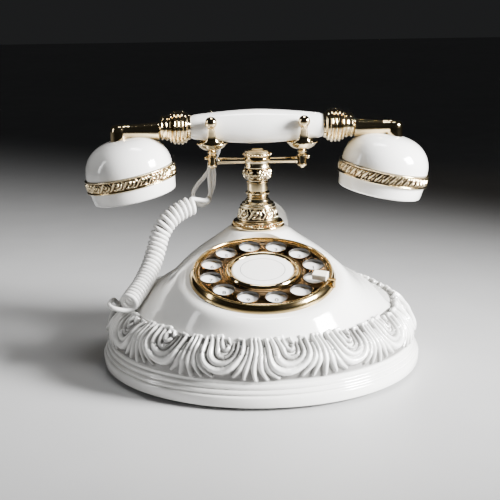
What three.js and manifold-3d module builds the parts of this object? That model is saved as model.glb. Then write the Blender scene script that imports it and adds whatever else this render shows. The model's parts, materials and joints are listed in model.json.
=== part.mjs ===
// A bedroom telephone in the princess style: a glazed white base with a tilted rotary dial, a gilt
// pillar with a sprung cradle, a lift-off handset with two domed cups, and a curly cord.
// Millimetres, +Z up, +X to the right and +Y to the back; the origin is on the table, under the
// middle of the round base.
import * as THREE from 'three';
import { mergeVertices } from 'three/addons/utils/BufferGeometryUtils.js';
import Module from 'manifold-3d';

const wasm = await Module();
wasm.setup();

// Driving dimensions
const BASE_RADIUS = 107;
const BASE_FLOOR = 2;
const NECK_TOP = 84.7;
const SHOULDER_HEIGHT = 42;
const PILLAR_BACK = 30;
const GAP = 0.3;
const WALL = 3;
const DIAL_CENTRE = [0, -35.4, 70.5];
const DIAL_TILT = 14.7;
const BEZEL_RADIUS = 47;
const WHEEL_RADIUS = 43;
const FINGER_CIRCLE = 34.3;
const FINGER_HOLE = 7;
const FINGER_HOLES = 12;
const FIRST_HOLE_ANGLE = 12;
const TUBE_BORE = 4.9;
const ROD_RADIUS = 2.6;
const CROSSBAR_HEIGHT = 131;
const CROSSBAR_RADIUS = 2.15;
const FORK_X = 30.9;
const BARREL_RADIUS = 3.27;
const HANDLE_HEIGHT = 154.6;
const HANDLE_HALF = 45.1;
const ARM_HEIGHT = 152.5;
const ELBOW_X = 94.1;
const CUP_CENTRE = [86.9, PILLAR_BACK, 121.1];
const CUP_TILT = 11.6;
const BAND_HALF = 4.25;
const CORD_RADIUS = 1.6;
const COIL_RADIUS = 7;
const PLATE_TOP = 5;
const LAND_ANGLE = 45;

const rad = THREE.MathUtils.degToRad;
const wheelX = (radius, degrees) => radius * Math.cos(rad(degrees));
const wheelY = (radius, degrees) => radius * Math.sin(rad(degrees));

// Finishes: each mesh gets a material of its own
const FINISHES = {
  porcelain: { color: 0xf3f1eb, roughness: 0.14, metalness: 0 },
  gilt: { color: 0xd9bf86, roughness: 0.2, metalness: 1 },
  plate: { color: 0xf4f3ee, roughness: 0.35, metalness: 0 },
  cord: { color: 0xecebe6, roughness: 0.45, metalness: 0 },
  steel: { color: 0xb9bcc0, roughness: 0.35, metalness: 1 },
  brass: { color: 0xc9a24e, roughness: 0.35, metalness: 1 },
  rubber: { color: 0x2a2a2a, roughness: 0.85, metalness: 0 },
  board: { color: 0x7a5a2c, roughness: 0.6, metalness: 0 },
  moulding: { color: 0x2e2c2a, roughness: 0.5, metalness: 0 },
};

const phone = new THREE.Group();

function add(parent, name, finish, geometry, position = [0, 0, 0]) {
  const mesh = new THREE.Mesh(geometry, new THREE.MeshStandardMaterial(FINISHES[finish]));
  mesh.name = name;
  mesh.position.set(...position);
  parent.add(mesh);
  return mesh;
}

// One closed surface from a three.js geometry: shared vertices merged, slivers dropped, faces out
function welded(geometry) {
  const bare = geometry.clone();
  bare.deleteAttribute('normal');
  bare.deleteAttribute('uv');
  const merged = mergeVertices(bare, 1e-4);
  const corners = merged.index.array;
  const kept = [];
  for (let i = 0; i < corners.length; i += 3) {
    const [a, b, c] = corners.slice(i, i + 3);
    if (a !== b && b !== c && c !== a) kept.push(a, b, c);
  }
  merged.setIndex(kept);
  return volumeOf(merged) < 0 ? turnedOut(merged) : merged;
}

function volumeOf(geometry) {
  const at = geometry.getAttribute('position');
  const [a, b, c] = [new THREE.Vector3(), new THREE.Vector3(), new THREE.Vector3()];
  let six = 0;
  for (let i = 0; i < geometry.index.count; i += 3) {
    a.fromBufferAttribute(at, geometry.index.getX(i));
    b.fromBufferAttribute(at, geometry.index.getX(i + 1));
    c.fromBufferAttribute(at, geometry.index.getX(i + 2));
    six += a.dot(b.cross(c));
  }
  return six / 6;
}

function turnedOut(geometry) {
  const corners = Array.from(geometry.index.array);
  for (let i = 0; i < corners.length; i += 3) {
    [corners[i + 1], corners[i + 2]] = [corners[i + 2], corners[i + 1]];
  }
  return geometry.setIndex(corners);
}

function toSolid(geometry) {
  const closed = welded(geometry);
  return new wasm.Manifold(new wasm.Mesh({
    numProp: 3,
    vertProperties: new Float32Array(closed.getAttribute('position').array),
    triVerts: new Uint32Array(closed.index.array),
  }));
}

function toGeometry(solid) {
  const mesh = solid.getMesh();
  const geometry = new THREE.BufferGeometry();
  geometry.setAttribute('position', new THREE.BufferAttribute(mesh.vertProperties, 3));
  geometry.setIndex(new THREE.BufferAttribute(mesh.triVerts, 1));
  return geometry;
}

const joined = (...parts) => parts.slice(1).reduce((sum, p) => sum.add(toSolid(p)), toSolid(parts[0]));
const cut = (solid, ...parts) => parts.reduce((left, p) => left.subtract(toSolid(p)), solid);

// A turned shape about +Z from [radius, height] points; a ring's outline is closed on itself
function turned(outline, sides = 20) {
  const onAxis = outline[0][0] === 0 && outline[outline.length - 1][0] === 0;
  const points = onAxis ? outline : [...outline, outline[0]];
  const geometry = new THREE.LatheGeometry(points.map(([r, z]) => new THREE.Vector2(r, z)), sides);
  return welded(geometry.rotateX(Math.PI / 2));
}

const rod = (radius, low, high, sides = 16) =>
  turned([[0, low], [radius, low], [radius, high], [0, high]], sides);
const ring = (inner, outer, low, high, sides = 24) =>
  turned([[inner, low], [outer, low], [outer, high], [inner, high]], sides);
const block = (x, y, z) => new THREE.BoxGeometry(x, y, z);

// A tube of the given radius through hand-set points
function tube(points, radius, steps, sides = 8) {
  const section = new THREE.Shape();
  for (let i = 0; i < sides; i += 1) {
    const angle = (2 * Math.PI * i) / sides;
    const corner = [radius * Math.cos(angle), radius * Math.sin(angle)];
    if (i === 0) section.moveTo(...corner);
    else section.lineTo(...corner);
  }
  const path = new THREE.CatmullRomCurve3(points.map((p) => new THREE.Vector3(...p)));
  return welded(new THREE.ExtrudeGeometry(section, { steps, extrudePath: path }));
}

// The base's axis leans from the middle of the foot to the pillar behind it
function leaned(geometry) {
  const at = geometry.getAttribute('position');
  const rise = NECK_TOP - 11.7 - SHOULDER_HEIGHT;
  for (let i = 0; i < at.count; i += 1) {
    const t = THREE.MathUtils.clamp((at.getZ(i) - SHOULDER_HEIGHT) / rise, 0, 1);
    at.setY(i, at.getY(i) + PILLAR_BACK * t * t * (3 - 2 * t));
  }
  return geometry;
}

// Base housing: foot band, moulding, relief band, shoulder and hollow cone up to the neck
const HOUSING_OUTLINE = [
  [0, BASE_FLOOR], [BASE_RADIUS, BASE_FLOOR], [BASE_RADIUS, 9], [105, 11], [103.6, 14], [103, 17],
  [101.5, 23], [99.3, 28.7], [95.7, 35.8], [92, 40.7], [86, 42.4], [76, 42.6], [68, 46], [62, 53],
  [50, 63], [41, 70], [35, 75], [29, 78.3], [24, 81.6], [20.5, NECK_TOP], [0, NECK_TOP],
];
const CAVITY_OUTLINE = [
  [0, 1], [101.5, 1], [101.5, 10], [98.5, 17], [97, 23], [94.5, 28.7], [90, 35], [84, 38.4],
  [75, 38.8], [65, 41.5], [58, 48.5], [46, 58.5], [33, 68.5], [0, 69],
];
const FOOT_SEAT = 18.9;
const BEZEL_SEAT = 47.9;
const BEZEL_FLOOR = -5.2;
const COLLAR_OUTLINE = [
  [0, -36], [76, -33], [66, -24], [60, -16], [57, -10], [56, -6], [54, -3.6], [51, -2.8],
  [48.5, -3.6], [BEZEL_SEAT, BEZEL_FLOOR], [0, BEZEL_FLOOR],
];
const WELL_OUTLINE = [[0, -34], [62, -33], [58, -24], [53, -16], [51, -8.2], [42, -8.2], [42, 1], [0, 1]];

function tilted(geometry) {
  return geometry.rotateX(rad(DIAL_TILT)).translate(...DIAL_CENTRE);
}

const SCREW_ANGLES = [30, 150, 270];
const SCREW_CIRCLE = 91;
const CREST = { x: 18.6, y: 11, z: 18.6, back: 55, height: 80.3 };
const JACK = { x: 16, y: 14, z: 14, height: 19, face: 101.4 };
const BOOT = { x: -97, y: 6, radius: 3.6, low: 22, high: 34 };

function baseHousing() {
  const crest = new THREE.SphereGeometry(1, 16, 10).scale(CREST.x, CREST.y, CREST.z);
  crest.translate(0, CREST.back, CREST.height);
  const outside = joined(leaned(turned(HOUSING_OUTLINE, 40)), tilted(turned(COLLAR_OUTLINE, 32)), crest);
  const hollow = cut(
    outside,
    leaned(turned(CAVITY_OUTLINE, 24)),
    tilted(turned(WELL_OUTLINE, 32)),
    rod(TUBE_BORE, 60, 90).translate(0, PILLAR_BACK, 0),
    rod(FOOT_SEAT, NECK_TOP, 92, 24).translate(0, PILLAR_BACK, 0),
    tilted(rod(BEZEL_SEAT, BEZEL_FLOOR, 30, 32)),
    block(JACK.x + 2 * GAP, 30, JACK.z + 2 * GAP).translate(0, 100, JACK.height),
    rod(BOOT.radius + GAP, BOOT.low - 2, BOOT.high + 20).translate(BOOT.x, BOOT.y, 0),
  );
  const posts = SCREW_ANGLES.map((angle) => ring(2.3, 5, PLATE_TOP + GAP, 31, 10)
    .translate(wheelX(SCREW_CIRCLE, angle), wheelY(SCREW_CIRCLE, angle), 0));
  return toGeometry(posts.reduce((sum, post) => sum.add(toSolid(post)), hollow));
}
add(phone, 'base_housing', 'porcelain', baseHousing());

// Bottom plate with its rubber feet and three screws
const plate = cut(
  toSolid(rod(99.8, BASE_FLOOR + GAP, PLATE_TOP, 40)),
  ...SCREW_ANGLES.map((angle) =>
    rod(2.4, 0, 9, 10).translate(wheelX(SCREW_CIRCLE, angle), wheelY(SCREW_CIRCLE, angle), 0)),
);
add(phone, 'bottom_plate', 'steel', toGeometry(plate));
const FOOT_CIRCLE = 88;
['front_right', 'back_right', 'back_left', 'front_left'].forEach((corner, i) => {
  const angle = LAND_ANGLE * (2 * i - 1);
  const foot = turned([[0, 0], [6.2, 0], [7, 0.6], [7, BASE_FLOOR], [0, BASE_FLOOR]], 14);
  add(phone, `foot_${corner}`, 'rubber', foot, [wheelX(FOOT_CIRCLE, angle), wheelY(FOOT_CIRCLE, angle), 0]);
});
SCREW_ANGLES.forEach((angle, i) => {
  const screw = turned([[0, 0.6], [4, 0.6], [4, 2], [2, 2], [2, 20], [0, 20]], 10);
  add(phone, `bottom_screw_${i + 1}`, 'steel', screw,
    [wheelX(SCREW_CIRCLE, angle), wheelY(SCREW_CIRCLE, angle), 0]);
});

// Inside the base: circuit board, hook switch, ringer, line socket and the cord's boot
const standoffs = [[-8, 14], [46, 14], [-8, 46], [46, 46]].map(([x, y]) =>
  rod(2.5, PLATE_TOP + GAP, 8, 12).translate(x, y, 0));
const laminate = block(64, 44, 1.6).translate(19, 30, 7.8);
add(phone, 'circuit_board', 'board', toGeometry(joined(laminate, ...standoffs)));
add(phone, 'hook_switch', 'moulding', block(16, 14, 33).translate(0, PILLAR_BACK, 25.4));
const SPRING_LOW = 42.2;
const SPRING_HIGH = 50;
function hookSpring() {
  const turns = 4;
  const points = [];
  for (let i = 0; i <= turns * 8; i += 1) {
    const z = THREE.MathUtils.lerp(SPRING_LOW + 0.5, SPRING_HIGH - 0.5, i / (turns * 8));
    points.push([wheelX(4.4, 45 * i), wheelY(4.4, 45 * i), z]);
  }
  return tube(points, 0.5, 32, 4);
}
add(phone, 'hook_spring', 'steel', hookSpring(), [0, PILLAR_BACK, 0]);
const GONG = [-52, -12];
add(phone, 'ringer_gong', 'steel', turned([
  [0, PLATE_TOP + GAP], [2.5, PLATE_TOP + GAP], [2.5, 16.6], [16, 13.8], [19, 8], [20, 8],
  [17.5, 15], [3, 18.4], [0, 18.4],
], 18), [...GONG, 0]);
const CLAPPER = { x: -27, y: 20, z: 12 };
add(phone, 'ringer_coil', 'brass', turned([
  [0, -9], [8, -9], [8, -7.5], [6.5, -7.5], [6.5, 7.5], [8, 7.5], [8, 9], [0, 9],
], 14).rotateX(Math.PI / 2), [CLAPPER.x, 36, 13.4]);
add(phone, 'ringer_clapper', 'steel', toGeometry(joined(
  new THREE.SphereGeometry(3, 10, 6).translate(0, GONG[1] - CLAPPER.y, 0),
  block(1.6, 35, 1.6).translate(0, -14.5, 0),
  rod(2, -6.6, 4, 10),
)), [CLAPPER.x, CLAPPER.y, CLAPPER.z]);
const jackMouth = block(11.6, 20, 7.4).translate(0, 3.6, 0);
add(phone, 'line_socket', 'moulding', toGeometry(cut(toSolid(block(JACK.x, JACK.y, JACK.z)), jackMouth)),
  [0, JACK.face - JACK.y / 2, JACK.height]);
add(phone, 'cord_boot', 'porcelain', turned([
  [0, BOOT.low], [BOOT.radius, BOOT.low], [BOOT.radius, BOOT.high - 2], [2.6, BOOT.high], [0, BOOT.high],
], 14), [BOOT.x, BOOT.y, 0]);

// Dial: everything sits in one group tilted towards the user
const dial = new THREE.Group();
dial.position.set(...DIAL_CENTRE);
dial.rotation.x = rad(DIAL_TILT);
phone.add(dial);
add(dial, 'dial_bezel', 'gilt', turned([
  [43.6, -4.9], [BEZEL_RADIUS, -4.9], [BEZEL_RADIUS, -1], [46, 0], [44.4, 0], [43.6, -0.8],
], 36));
add(dial, 'number_plate', 'plate', ring(5, 43.2, -4.9, -3.4, 32));
function fingerWheel() {
  const disc = new THREE.Shape().absarc(0, 0, WHEEL_RADIUS, 0, 2 * Math.PI);
  disc.holes.push(new THREE.Path().absarc(0, 0, 3.3, 0, 2 * Math.PI));
  for (let i = 0; i < FINGER_HOLES; i += 1) {
    const angle = FIRST_HOLE_ANGLE + (360 / FINGER_HOLES) * i;
    disc.holes.push(new THREE.Path().absarc(
      wheelX(FINGER_CIRCLE, angle), wheelY(FINGER_CIRCLE, angle), FINGER_HOLE, 0, 2 * Math.PI));
  }
  return welded(new THREE.ExtrudeGeometry(disc, { depth: 1.4, bevelEnabled: false, curveSegments: 6 }));
}
add(dial, 'finger_wheel', 'gilt', fingerWheel(), [0, 0, -2.6]);
add(dial, 'centre_ring', 'gilt', turned([
  [20.3, -0.9], [23.5, -0.9], [23.2, 0.2], [22, 0.8], [20.8, 0.6], [20.3, 0],
], 28));
add(dial, 'centre_card', 'porcelain', rod(19.9, -0.9, 0, 28));
const STOP_ANGLE = -20;
const stopBody = joined(
  block(12, 7, 2.4).translate(40.6, 0, 1.5),
  block(3.4, 7, 7.6).translate(49, 0, -1.1),
  block(8, 7, 2.4).translate(46, 0, 1.5),
);
const stopSeated = cut(stopBody, ring(46, 52, -12, -2.3, 40));
add(dial, 'finger_stop', 'gilt', toGeometry(stopSeated).rotateZ(rad(STOP_ANGLE)));
add(dial, 'dial_shaft', 'steel', rod(3, -24, -1.2, 14));
add(dial, 'dial_plate', 'steel', ring(3.4, 47, -10, -8.5, 28));
function returnSpring() {
  const points = [];
  const turns = 3;
  for (let i = 0; i <= turns * 8; i += 1) {
    const radius = THREE.MathUtils.lerp(4.6, 10.5, i / (turns * 8));
    points.push([wheelX(radius, 45 * i), wheelY(radius, 45 * i), 0]);
  }
  return tube(points, 0.6, 26, 4);
}
add(dial, 'return_spring', 'steel', returnSpring(), [0, 0, -11.4]);

// Pulse train: the wheel's gear turns a small gear three times as fast
const MODULE = 0.9;
const MAIN_TEETH = 36;
const PULSE_TEETH = 12;
const GEAR_DISTANCE = (MODULE * (MAIN_TEETH + PULSE_TEETH)) / 2 + 0.15;
function gear(teeth, bore, thickness, turn) {
  const tip = (MODULE * teeth) / 2 + 0.72;
  const root = (MODULE * teeth) / 2 - 1;
  const outline = new THREE.Shape();
  for (let i = 0; i < teeth; i += 1) {
    [[-0.26, root], [-0.09, tip], [0.09, tip], [0.26, root]].forEach(([share, radius], corner) => {
      const angle = turn + (360 / teeth) * (i + share);
      const point = [wheelX(radius, angle), wheelY(radius, angle)];
      if (i === 0 && corner === 0) outline.moveTo(...point);
      else outline.lineTo(...point);
    });
  }
  if (bore > 0) outline.holes.push(new THREE.Path().absarc(0, 0, bore, 0, 2 * Math.PI));
  const extrusion = { depth: thickness, bevelEnabled: false, curveSegments: 8 };
  return welded(new THREE.ExtrudeGeometry(outline, extrusion));
}
add(dial, 'main_gear', 'brass', gear(MAIN_TEETH, 3.3, 2, 0), [0, 0, -15]);
const pulseWheel = gear(PULSE_TEETH, 0, 2, 180 / PULSE_TEETH).translate(0, 0, -15);
const pulseGear = joined(pulseWheel, rod(1.5, -19, -10.3, 12));
add(dial, 'pulse_gear', 'brass', toGeometry(pulseGear), [GEAR_DISTANCE, 0, 0]);

// Pillar: turned castings threaded on one steel tube
const pillar = new THREE.Group();
pillar.position.set(0, PILLAR_BACK, 0);
phone.add(pillar);
add(pillar, 'pillar_foot', 'gilt', turned([
  [TUBE_BORE, 85], [18.3, 85], [18.3, 87], [17.2, 88], [17, 89.5], [15, 90.1], [TUBE_BORE, 90.1],
], 24));
add(pillar, 'pillar_bell', 'gilt', turned([
  [TUBE_BORE, 90.4], [14.3, 90.4], [13, 93.2], [11.8, 96.7], [10.4, 100.2], [8.3, 103.8],
  [7.5, 104.2], [TUBE_BORE, 104.2],
]));
add(pillar, 'pillar_shaft', 'gilt', turned([
  [TUBE_BORE, 104.5], [7.1, 104.5], [7.1, 107.3], [8, 108], [8, 109.4], [7.1, 110.2], [7.1, 117.1],
  [TUBE_BORE, 117.1],
]));
const capital = turned([
  [TUBE_BORE, 117.4], [7.1, 117.4], [8.8, 119.9], [9.2, 121.3], [9.1, 124.8], [8.6, 126.8],
  [8.6, 131], [6.2, 131], [6.2, 127], [TUBE_BORE, 127],
]);
const barNotch = block(24, 5, 5).translate(0, 0, CROSSBAR_HEIGHT);
add(pillar, 'pillar_capital', 'gilt', toGeometry(cut(toSolid(capital), barNotch)));
add(pillar, 'centre_tube', 'steel', ring(3, TUBE_BORE - GAP, 58, 126.7, 16));

// Cradle: one casting group on the plunger rod, which rises when the handset is lifted
const crown = turned([
  [0, 127.3], [5.9, 127.3], [5.9, 131.3], [9.3, 131.3], [9.3, 137], [8.6, 138.2], [6.4, 139.2],
  [3.4, 139.6], [0, 139.7],
]);
const barHole = rod(CROSSBAR_RADIUS + GAP, -20, 20, 12).rotateY(Math.PI / 2);
barHole.translate(0, 0, CROSSBAR_HEIGHT);
add(pillar, 'cradle_crown', 'gilt', toGeometry(cut(toSolid(crown), barHole)));
add(pillar, 'plunger_rod', 'steel', turned([
  [0, SPRING_LOW + GAP], [ROD_RADIUS, SPRING_LOW + GAP], [ROD_RADIUS, SPRING_HIGH + GAP],
  [5.5, SPRING_HIGH + GAP], [5.5, 52], [ROD_RADIUS, 52], [ROD_RADIUS, 127], [0, 127],
], 12));
const barHalf = FORK_X - BARREL_RADIUS - GAP;
add(pillar, 'crossbar', 'gilt',
  rod(CROSSBAR_RADIUS, -barHalf, barHalf, 12).rotateY(Math.PI / 2).translate(0, 0, CROSSBAR_HEIGHT));
const DISH_RIM = 143.6;
const PRONG_LEAN = 12;
const PRONG_FOOT = 10.4;
function prong(side) {
  const blade = new THREE.Shape();
  blade.moveTo(-5.4, 0);
  blade.quadraticCurveTo(-2.2, 3.6, -1.5, 13);
  blade.lineTo(1.5, 13);
  blade.quadraticCurveTo(2.2, 3.6, 5.4, 0);
  const flat = new THREE.ExtrudeGeometry(blade, { depth: 1.8, bevelEnabled: false, curveSegments: 3 });
  flat.translate(0, 0, -0.9).rotateX(Math.PI / 2);
  const ball = new THREE.SphereGeometry(3.4, 12, 8).translate(0, 0, 15.2);
  const shape = toGeometry(joined(flat, ball)).rotateX(rad(-PRONG_LEAN * side));
  return shape.translate(0, side * PRONG_FOOT, DISH_RIM + 0.6);
}
[['left', -1], ['right', 1]].forEach(([hand, sign]) => {
  const fork = new THREE.Group();
  fork.position.set(sign * FORK_X, 0, 0);
  pillar.add(fork);
  add(fork, `fork_${hand}`, 'gilt', turned([
    [0, 125.8], [1.6, 126], [BARREL_RADIUS, 126.8], [BARREL_RADIUS, 135.9], [2.5, 136.3],
    [3.3, 136.8], [2.3, 137.8], [3, 138.6], [6.5, 139.4], [9.2, 141.2], [10.6, DISH_RIM],
    [9.5, DISH_RIM], [8.2, 141.9], [5.8, 140.4], [0, 139.9],
  ], 18));
  add(fork, `prong_${hand}_front`, 'gilt', prong(-1));
  add(fork, `prong_${hand}_back`, 'gilt', prong(1));
});

// Handset: spindle grip, ridged collars, bent arms and two tilted cups, all on one tie rod
const handset = new THREE.Group();
handset.position.set(0, PILLAR_BACK, 0);
phone.add(handset);
const TIE_ROD = 3;
const TIE_BORE = TIE_ROD + GAP;
const along = (geometry, height) => geometry.rotateY(Math.PI / 2).translate(0, 0, height);
function gripOutline(grow, bore) {
  const half = [[HANDLE_HALF, 8], [38, 8.9], [FORK_X, 9.7], [20, 10.6], [10, 11.3], [0, 11.6]];
  const back = half.slice(0, -1).reverse();
  const left = half.map(([x, r]) => [r + grow, -x - grow]);
  const right = back.map(([x, r]) => [r + grow, x + grow]);
  return [[bore, -HANDLE_HALF - grow], ...left, ...right, [bore, HANDLE_HALF + grow]];
}
add(handset, 'handset_grip', 'porcelain', along(turned(gripOutline(0, TIE_BORE)), HANDLE_HEIGHT));
add(handset, 'tie_rod', 'steel', along(rod(TIE_ROD, -64, 64, 12), HANDLE_HEIGHT));
const glandBody = turned([[0, 0], [3.2, 0], [3.2, 7], [2.6, 9.5], [0, 9.5]], 12)
  .rotateX(-Math.PI / 2).translate(-22, 7.5, 152);
add(handset, 'handset_gland', 'porcelain',
  toGeometry(cut(toSolid(glandBody), along(turned(gripOutline(GAP, 0)), HANDLE_HEIGHT))));
function dome(grow) {
  return [
    [0, BAND_HALF + GAP], [29.9 + grow, BAND_HALF + GAP], [29.9 + grow, 12], [28.6 + grow, 17],
    [25 + grow, 21.5 + grow], [19 + grow, 24.8 + grow], [11, 26.3 + grow], [0, 26.6 + grow],
  ];
}
function cupPlaced(geometry, sign) {
  return geometry.rotateY(rad(sign * CUP_TILT)).translate(sign * CUP_CENTRE[0], 0, CUP_CENTRE[2]);
}
function arm(sign) {
  const sleeve = turned([[0, 66.4], [6.1, 66.4], [4.75, 86], [4.75, ELBOW_X], [0, ELBOW_X]], 16);
  const lower = turned([[0, 140], [5.75, 140], [5.75, 153.5], [5, 156], [3, 156.9], [0, 156.9]], 16);
  const tubeAlong = along(sleeve, 0).scale(sign, 1, 1).translate(0, 0, ARM_HEIGHT);
  const body = joined(tubeAlong, lower.translate(sign * ELBOW_X, 0, 0));
  return toGeometry(cut(body, cupPlaced(turned(dome(GAP)), sign)));
}
[['left', -1, 'mouth'], ['right', 1, 'ear']].forEach(([hand, sign, use]) => {
  const collar = turned([
    [TIE_BORE, 45.4], [8.35, 45.4], [8.35, 46.6], [7.9, 47.4], [10.6, 48.6], [11.6, 50], [11.6, 56.5],
    [9.4, 58.4], [8, 59.5], [8, 65], [6.8, 66], [TIE_BORE, 66],
  ]);
  add(handset, `collar_${hand}`, 'gilt', welded(along(collar, HANDLE_HEIGHT).scale(sign, 1, 1)));
  add(handset, `arm_${hand}`, 'gilt', arm(sign));
  const cup = new THREE.Group();
  cup.position.set(sign * CUP_CENTRE[0], 0, CUP_CENTRE[2]);
  cup.rotation.y = rad(sign * CUP_TILT);
  handset.add(cup);
  const skin = dome(0).slice(1);
  const lining = skin.map(([r, w]) => [Math.max(r - WALL, 0), w > 12 ? w - WALL : w]).reverse();
  const shell = [...skin, ...lining.slice(0, -1), [29.9 - WALL, BAND_HALF + GAP]];
  add(cup, `cup_shell_${hand}`, 'porcelain', turned(shell, 24));
  add(cup, `cup_band_${hand}`, 'gilt', ring(27.2, 31.6, -BAND_HALF, BAND_HALF, 28));
  add(cup, `${use}_cap`, 'porcelain', turned([
    [0, -11.2], [20, -11.8], [24, -13.6], [28.5, -13.6], [29.2, -9], [29.8, -4.55], [26.4, -4.55],
    [26.4, -8.6], [0, -8.2],
  ], 24));
  add(cup, use === 'ear' ? 'receiver_capsule' : 'transmitter_capsule', 'steel', turned([
    [0, -7.9], [22, -7.9], [22, -3], [18, 2], [0, 2],
  ], 16));
});

// Curly cord: a lead with one slack loop, the long coil down to the shoulder, and the tail's boot
const COIL_ROUTE = [
  [-42, 30, 101.6], [-47.8, 28, 99.9], [-54.5, 25, 97], [-60, 22, 93.4], [-64.6, 19, 88.3],
  [-68, 17, 81.7], [-70, 14, 75], [-73, 8, 66], [-76.5, 0, 59], [-80.2, -11, 54], [-84.5, -23, 50.6],
  [-88, -33, 47.6],
];
const UPPER_LEAD = [
  [-22, 47.3, 152], [-22.4, 51.5, 151.4], [-23.6, 55.5, 147], [-25, 57.5, 140], [-27, 57.5, 131],
  [-30.5, 56, 123.5], [-36, 53.5, 115.5], [-40.8, 51, 108.5], [-42.6, 49, 103], [-41, 47, 98.6],
  [-37, 46, 99.4], [-33.6, 46, 104.5], [-32.6, 46.5, 111], [-33, 47, 118], [-33.4, 48.5, 124],
  [-33.2, 51.4, 128], [-32.4, 54.2, 125], [-32, 54.5, 118], [-32, 53, 110], [-33, 49.5, 104],
  [-34.6, 43.5, 100.8], [-36.5, 37.5, 100.5], [-38.8, 31.2, 102.4], [-41.5, 30.2, 101.7],
];
const LOWER_LEAD = [
  [-88.4, -34.2, 47.2], [-89.6, -37.2, 46.2], [-92.6, -38.2, 45.2], [-95.4, -34.4, 44.7],
  [-97.2, -28.5, 44.6], [-98.2, -21, 44], [-98.9, -13, 42.8], [-99.2, -5, 41.8], [-98.6, 1.5, 40.6],
  [-97.1, 5.6, 38], [-97, 6, 34.4],
];
add(phone, 'cord_coil', 'cord', tube(COIL_ROUTE, COIL_RADIUS, 18, 8));
add(phone, 'cord_upper_lead', 'cord', tube(UPPER_LEAD, CORD_RADIUS, 56));
add(phone, 'cord_lower_lead', 'cord', tube(LOWER_LEAD, CORD_RADIUS, 18));

export default phone;
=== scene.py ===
import json
import math

import bpy
import numpy as np
from mathutils import Matrix, Vector


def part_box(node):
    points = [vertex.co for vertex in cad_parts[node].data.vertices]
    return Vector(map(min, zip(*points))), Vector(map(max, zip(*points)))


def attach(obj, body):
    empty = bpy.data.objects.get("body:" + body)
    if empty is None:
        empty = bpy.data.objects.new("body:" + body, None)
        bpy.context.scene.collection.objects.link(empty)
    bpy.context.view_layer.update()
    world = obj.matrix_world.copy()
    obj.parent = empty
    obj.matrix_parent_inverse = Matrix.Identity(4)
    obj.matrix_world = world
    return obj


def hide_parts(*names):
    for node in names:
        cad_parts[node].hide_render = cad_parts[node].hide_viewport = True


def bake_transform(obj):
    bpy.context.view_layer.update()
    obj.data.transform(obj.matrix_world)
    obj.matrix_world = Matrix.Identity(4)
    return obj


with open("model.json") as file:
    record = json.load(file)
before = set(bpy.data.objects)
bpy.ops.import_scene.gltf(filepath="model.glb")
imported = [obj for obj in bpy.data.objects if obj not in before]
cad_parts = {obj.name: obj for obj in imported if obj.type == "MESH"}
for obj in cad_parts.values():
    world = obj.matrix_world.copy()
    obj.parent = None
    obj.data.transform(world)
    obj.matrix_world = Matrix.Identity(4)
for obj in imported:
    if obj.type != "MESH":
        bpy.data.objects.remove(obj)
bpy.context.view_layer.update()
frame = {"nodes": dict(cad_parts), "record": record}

# The stage: a pale table top in a dark room, a panel at each side, a soft one overhead and a small warm
# lamp behind. The camera stands a little left of the middle, above the handset, and looks down on the dial.
TABLE_SIZE = 6
floor_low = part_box("foot_front_left")[0][2]
bpy.ops.object.select_all(action="DESELECT")
bpy.ops.mesh.primitive_plane_add(size=TABLE_SIZE, location=(0, 0, floor_low))
floor = bpy.context.object
floor.name = "table_top"


def node(tree, kind, **values):
    """A new node of a material, with its settings and inputs filled in by name."""
    made = tree.nodes.new(kind)
    for name, value in values.items():
        if hasattr(made, name):
            setattr(made, name, value)
        else:
            made.inputs[name.replace("_", " ")].default_value = value
    return made


def ramp_between(tree, source, low, high):
    """A colour that goes from low to high as the source does."""
    ramp = tree.nodes.new("ShaderNodeValToRGB")
    ramp.color_ramp.elements[0].position = 0.35
    ramp.color_ramp.elements[0].color = (*low, 1)
    ramp.color_ramp.elements[1].position = 0.65
    ramp.color_ramp.elements[1].color = (*high, 1)
    tree.links.new(source, ramp.inputs["Fac"])
    return ramp.outputs["Color"]


SKIN_DEPTH = 0.0002
DRIFT_SHARE = 0.12
ROUGH_LOW, ROUGH_HIGH = 0.75, 1.3


def finish_with(name, low, high, rough, metal, grain, bump, coat=0.0):
    """A finish with slow colour drift, uneven roughness and a fine skin."""
    material = bpy.data.materials.new(name)
    material.use_nodes = True
    tree = material.node_tree
    shader = tree.nodes["Principled BSDF"]
    place = tree.nodes.new("ShaderNodeTexCoord").outputs["Object"]
    drift = node(tree, "ShaderNodeTexNoise", Scale=grain * DRIFT_SHARE, Detail=3.0)
    fine = node(tree, "ShaderNodeTexNoise", Scale=grain, Detail=5.0)
    tree.links.new(place, drift.inputs["Vector"])
    tree.links.new(place, fine.inputs["Vector"])
    tree.links.new(ramp_between(tree, drift.outputs["Fac"], low, high), shader.inputs["Base Color"])
    uneven = node(tree, "ShaderNodeMapRange", To_Min=rough * ROUGH_LOW, To_Max=rough * ROUGH_HIGH)
    tree.links.new(fine.outputs["Fac"], uneven.inputs["Value"])
    tree.links.new(uneven.outputs["Result"], shader.inputs["Roughness"])
    skin = node(tree, "ShaderNodeBump", Strength=bump, Distance=SKIN_DEPTH)
    tree.links.new(fine.outputs["Fac"], skin.inputs["Height"])
    tree.links.new(skin.outputs["Normal"], shader.inputs["Normal"])
    shader.inputs["Metallic"].default_value = metal
    shader.inputs["Coat Weight"].default_value = coat
    shader.inputs["Coat Roughness"].default_value = 0.06
    return material


pale_table = finish_with("pale_table", (0.40, 0.40, 0.40), (0.43, 0.43, 0.43), 0.4, 0, 30, 0.02)
floor.data.materials.append(pale_table)


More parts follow.
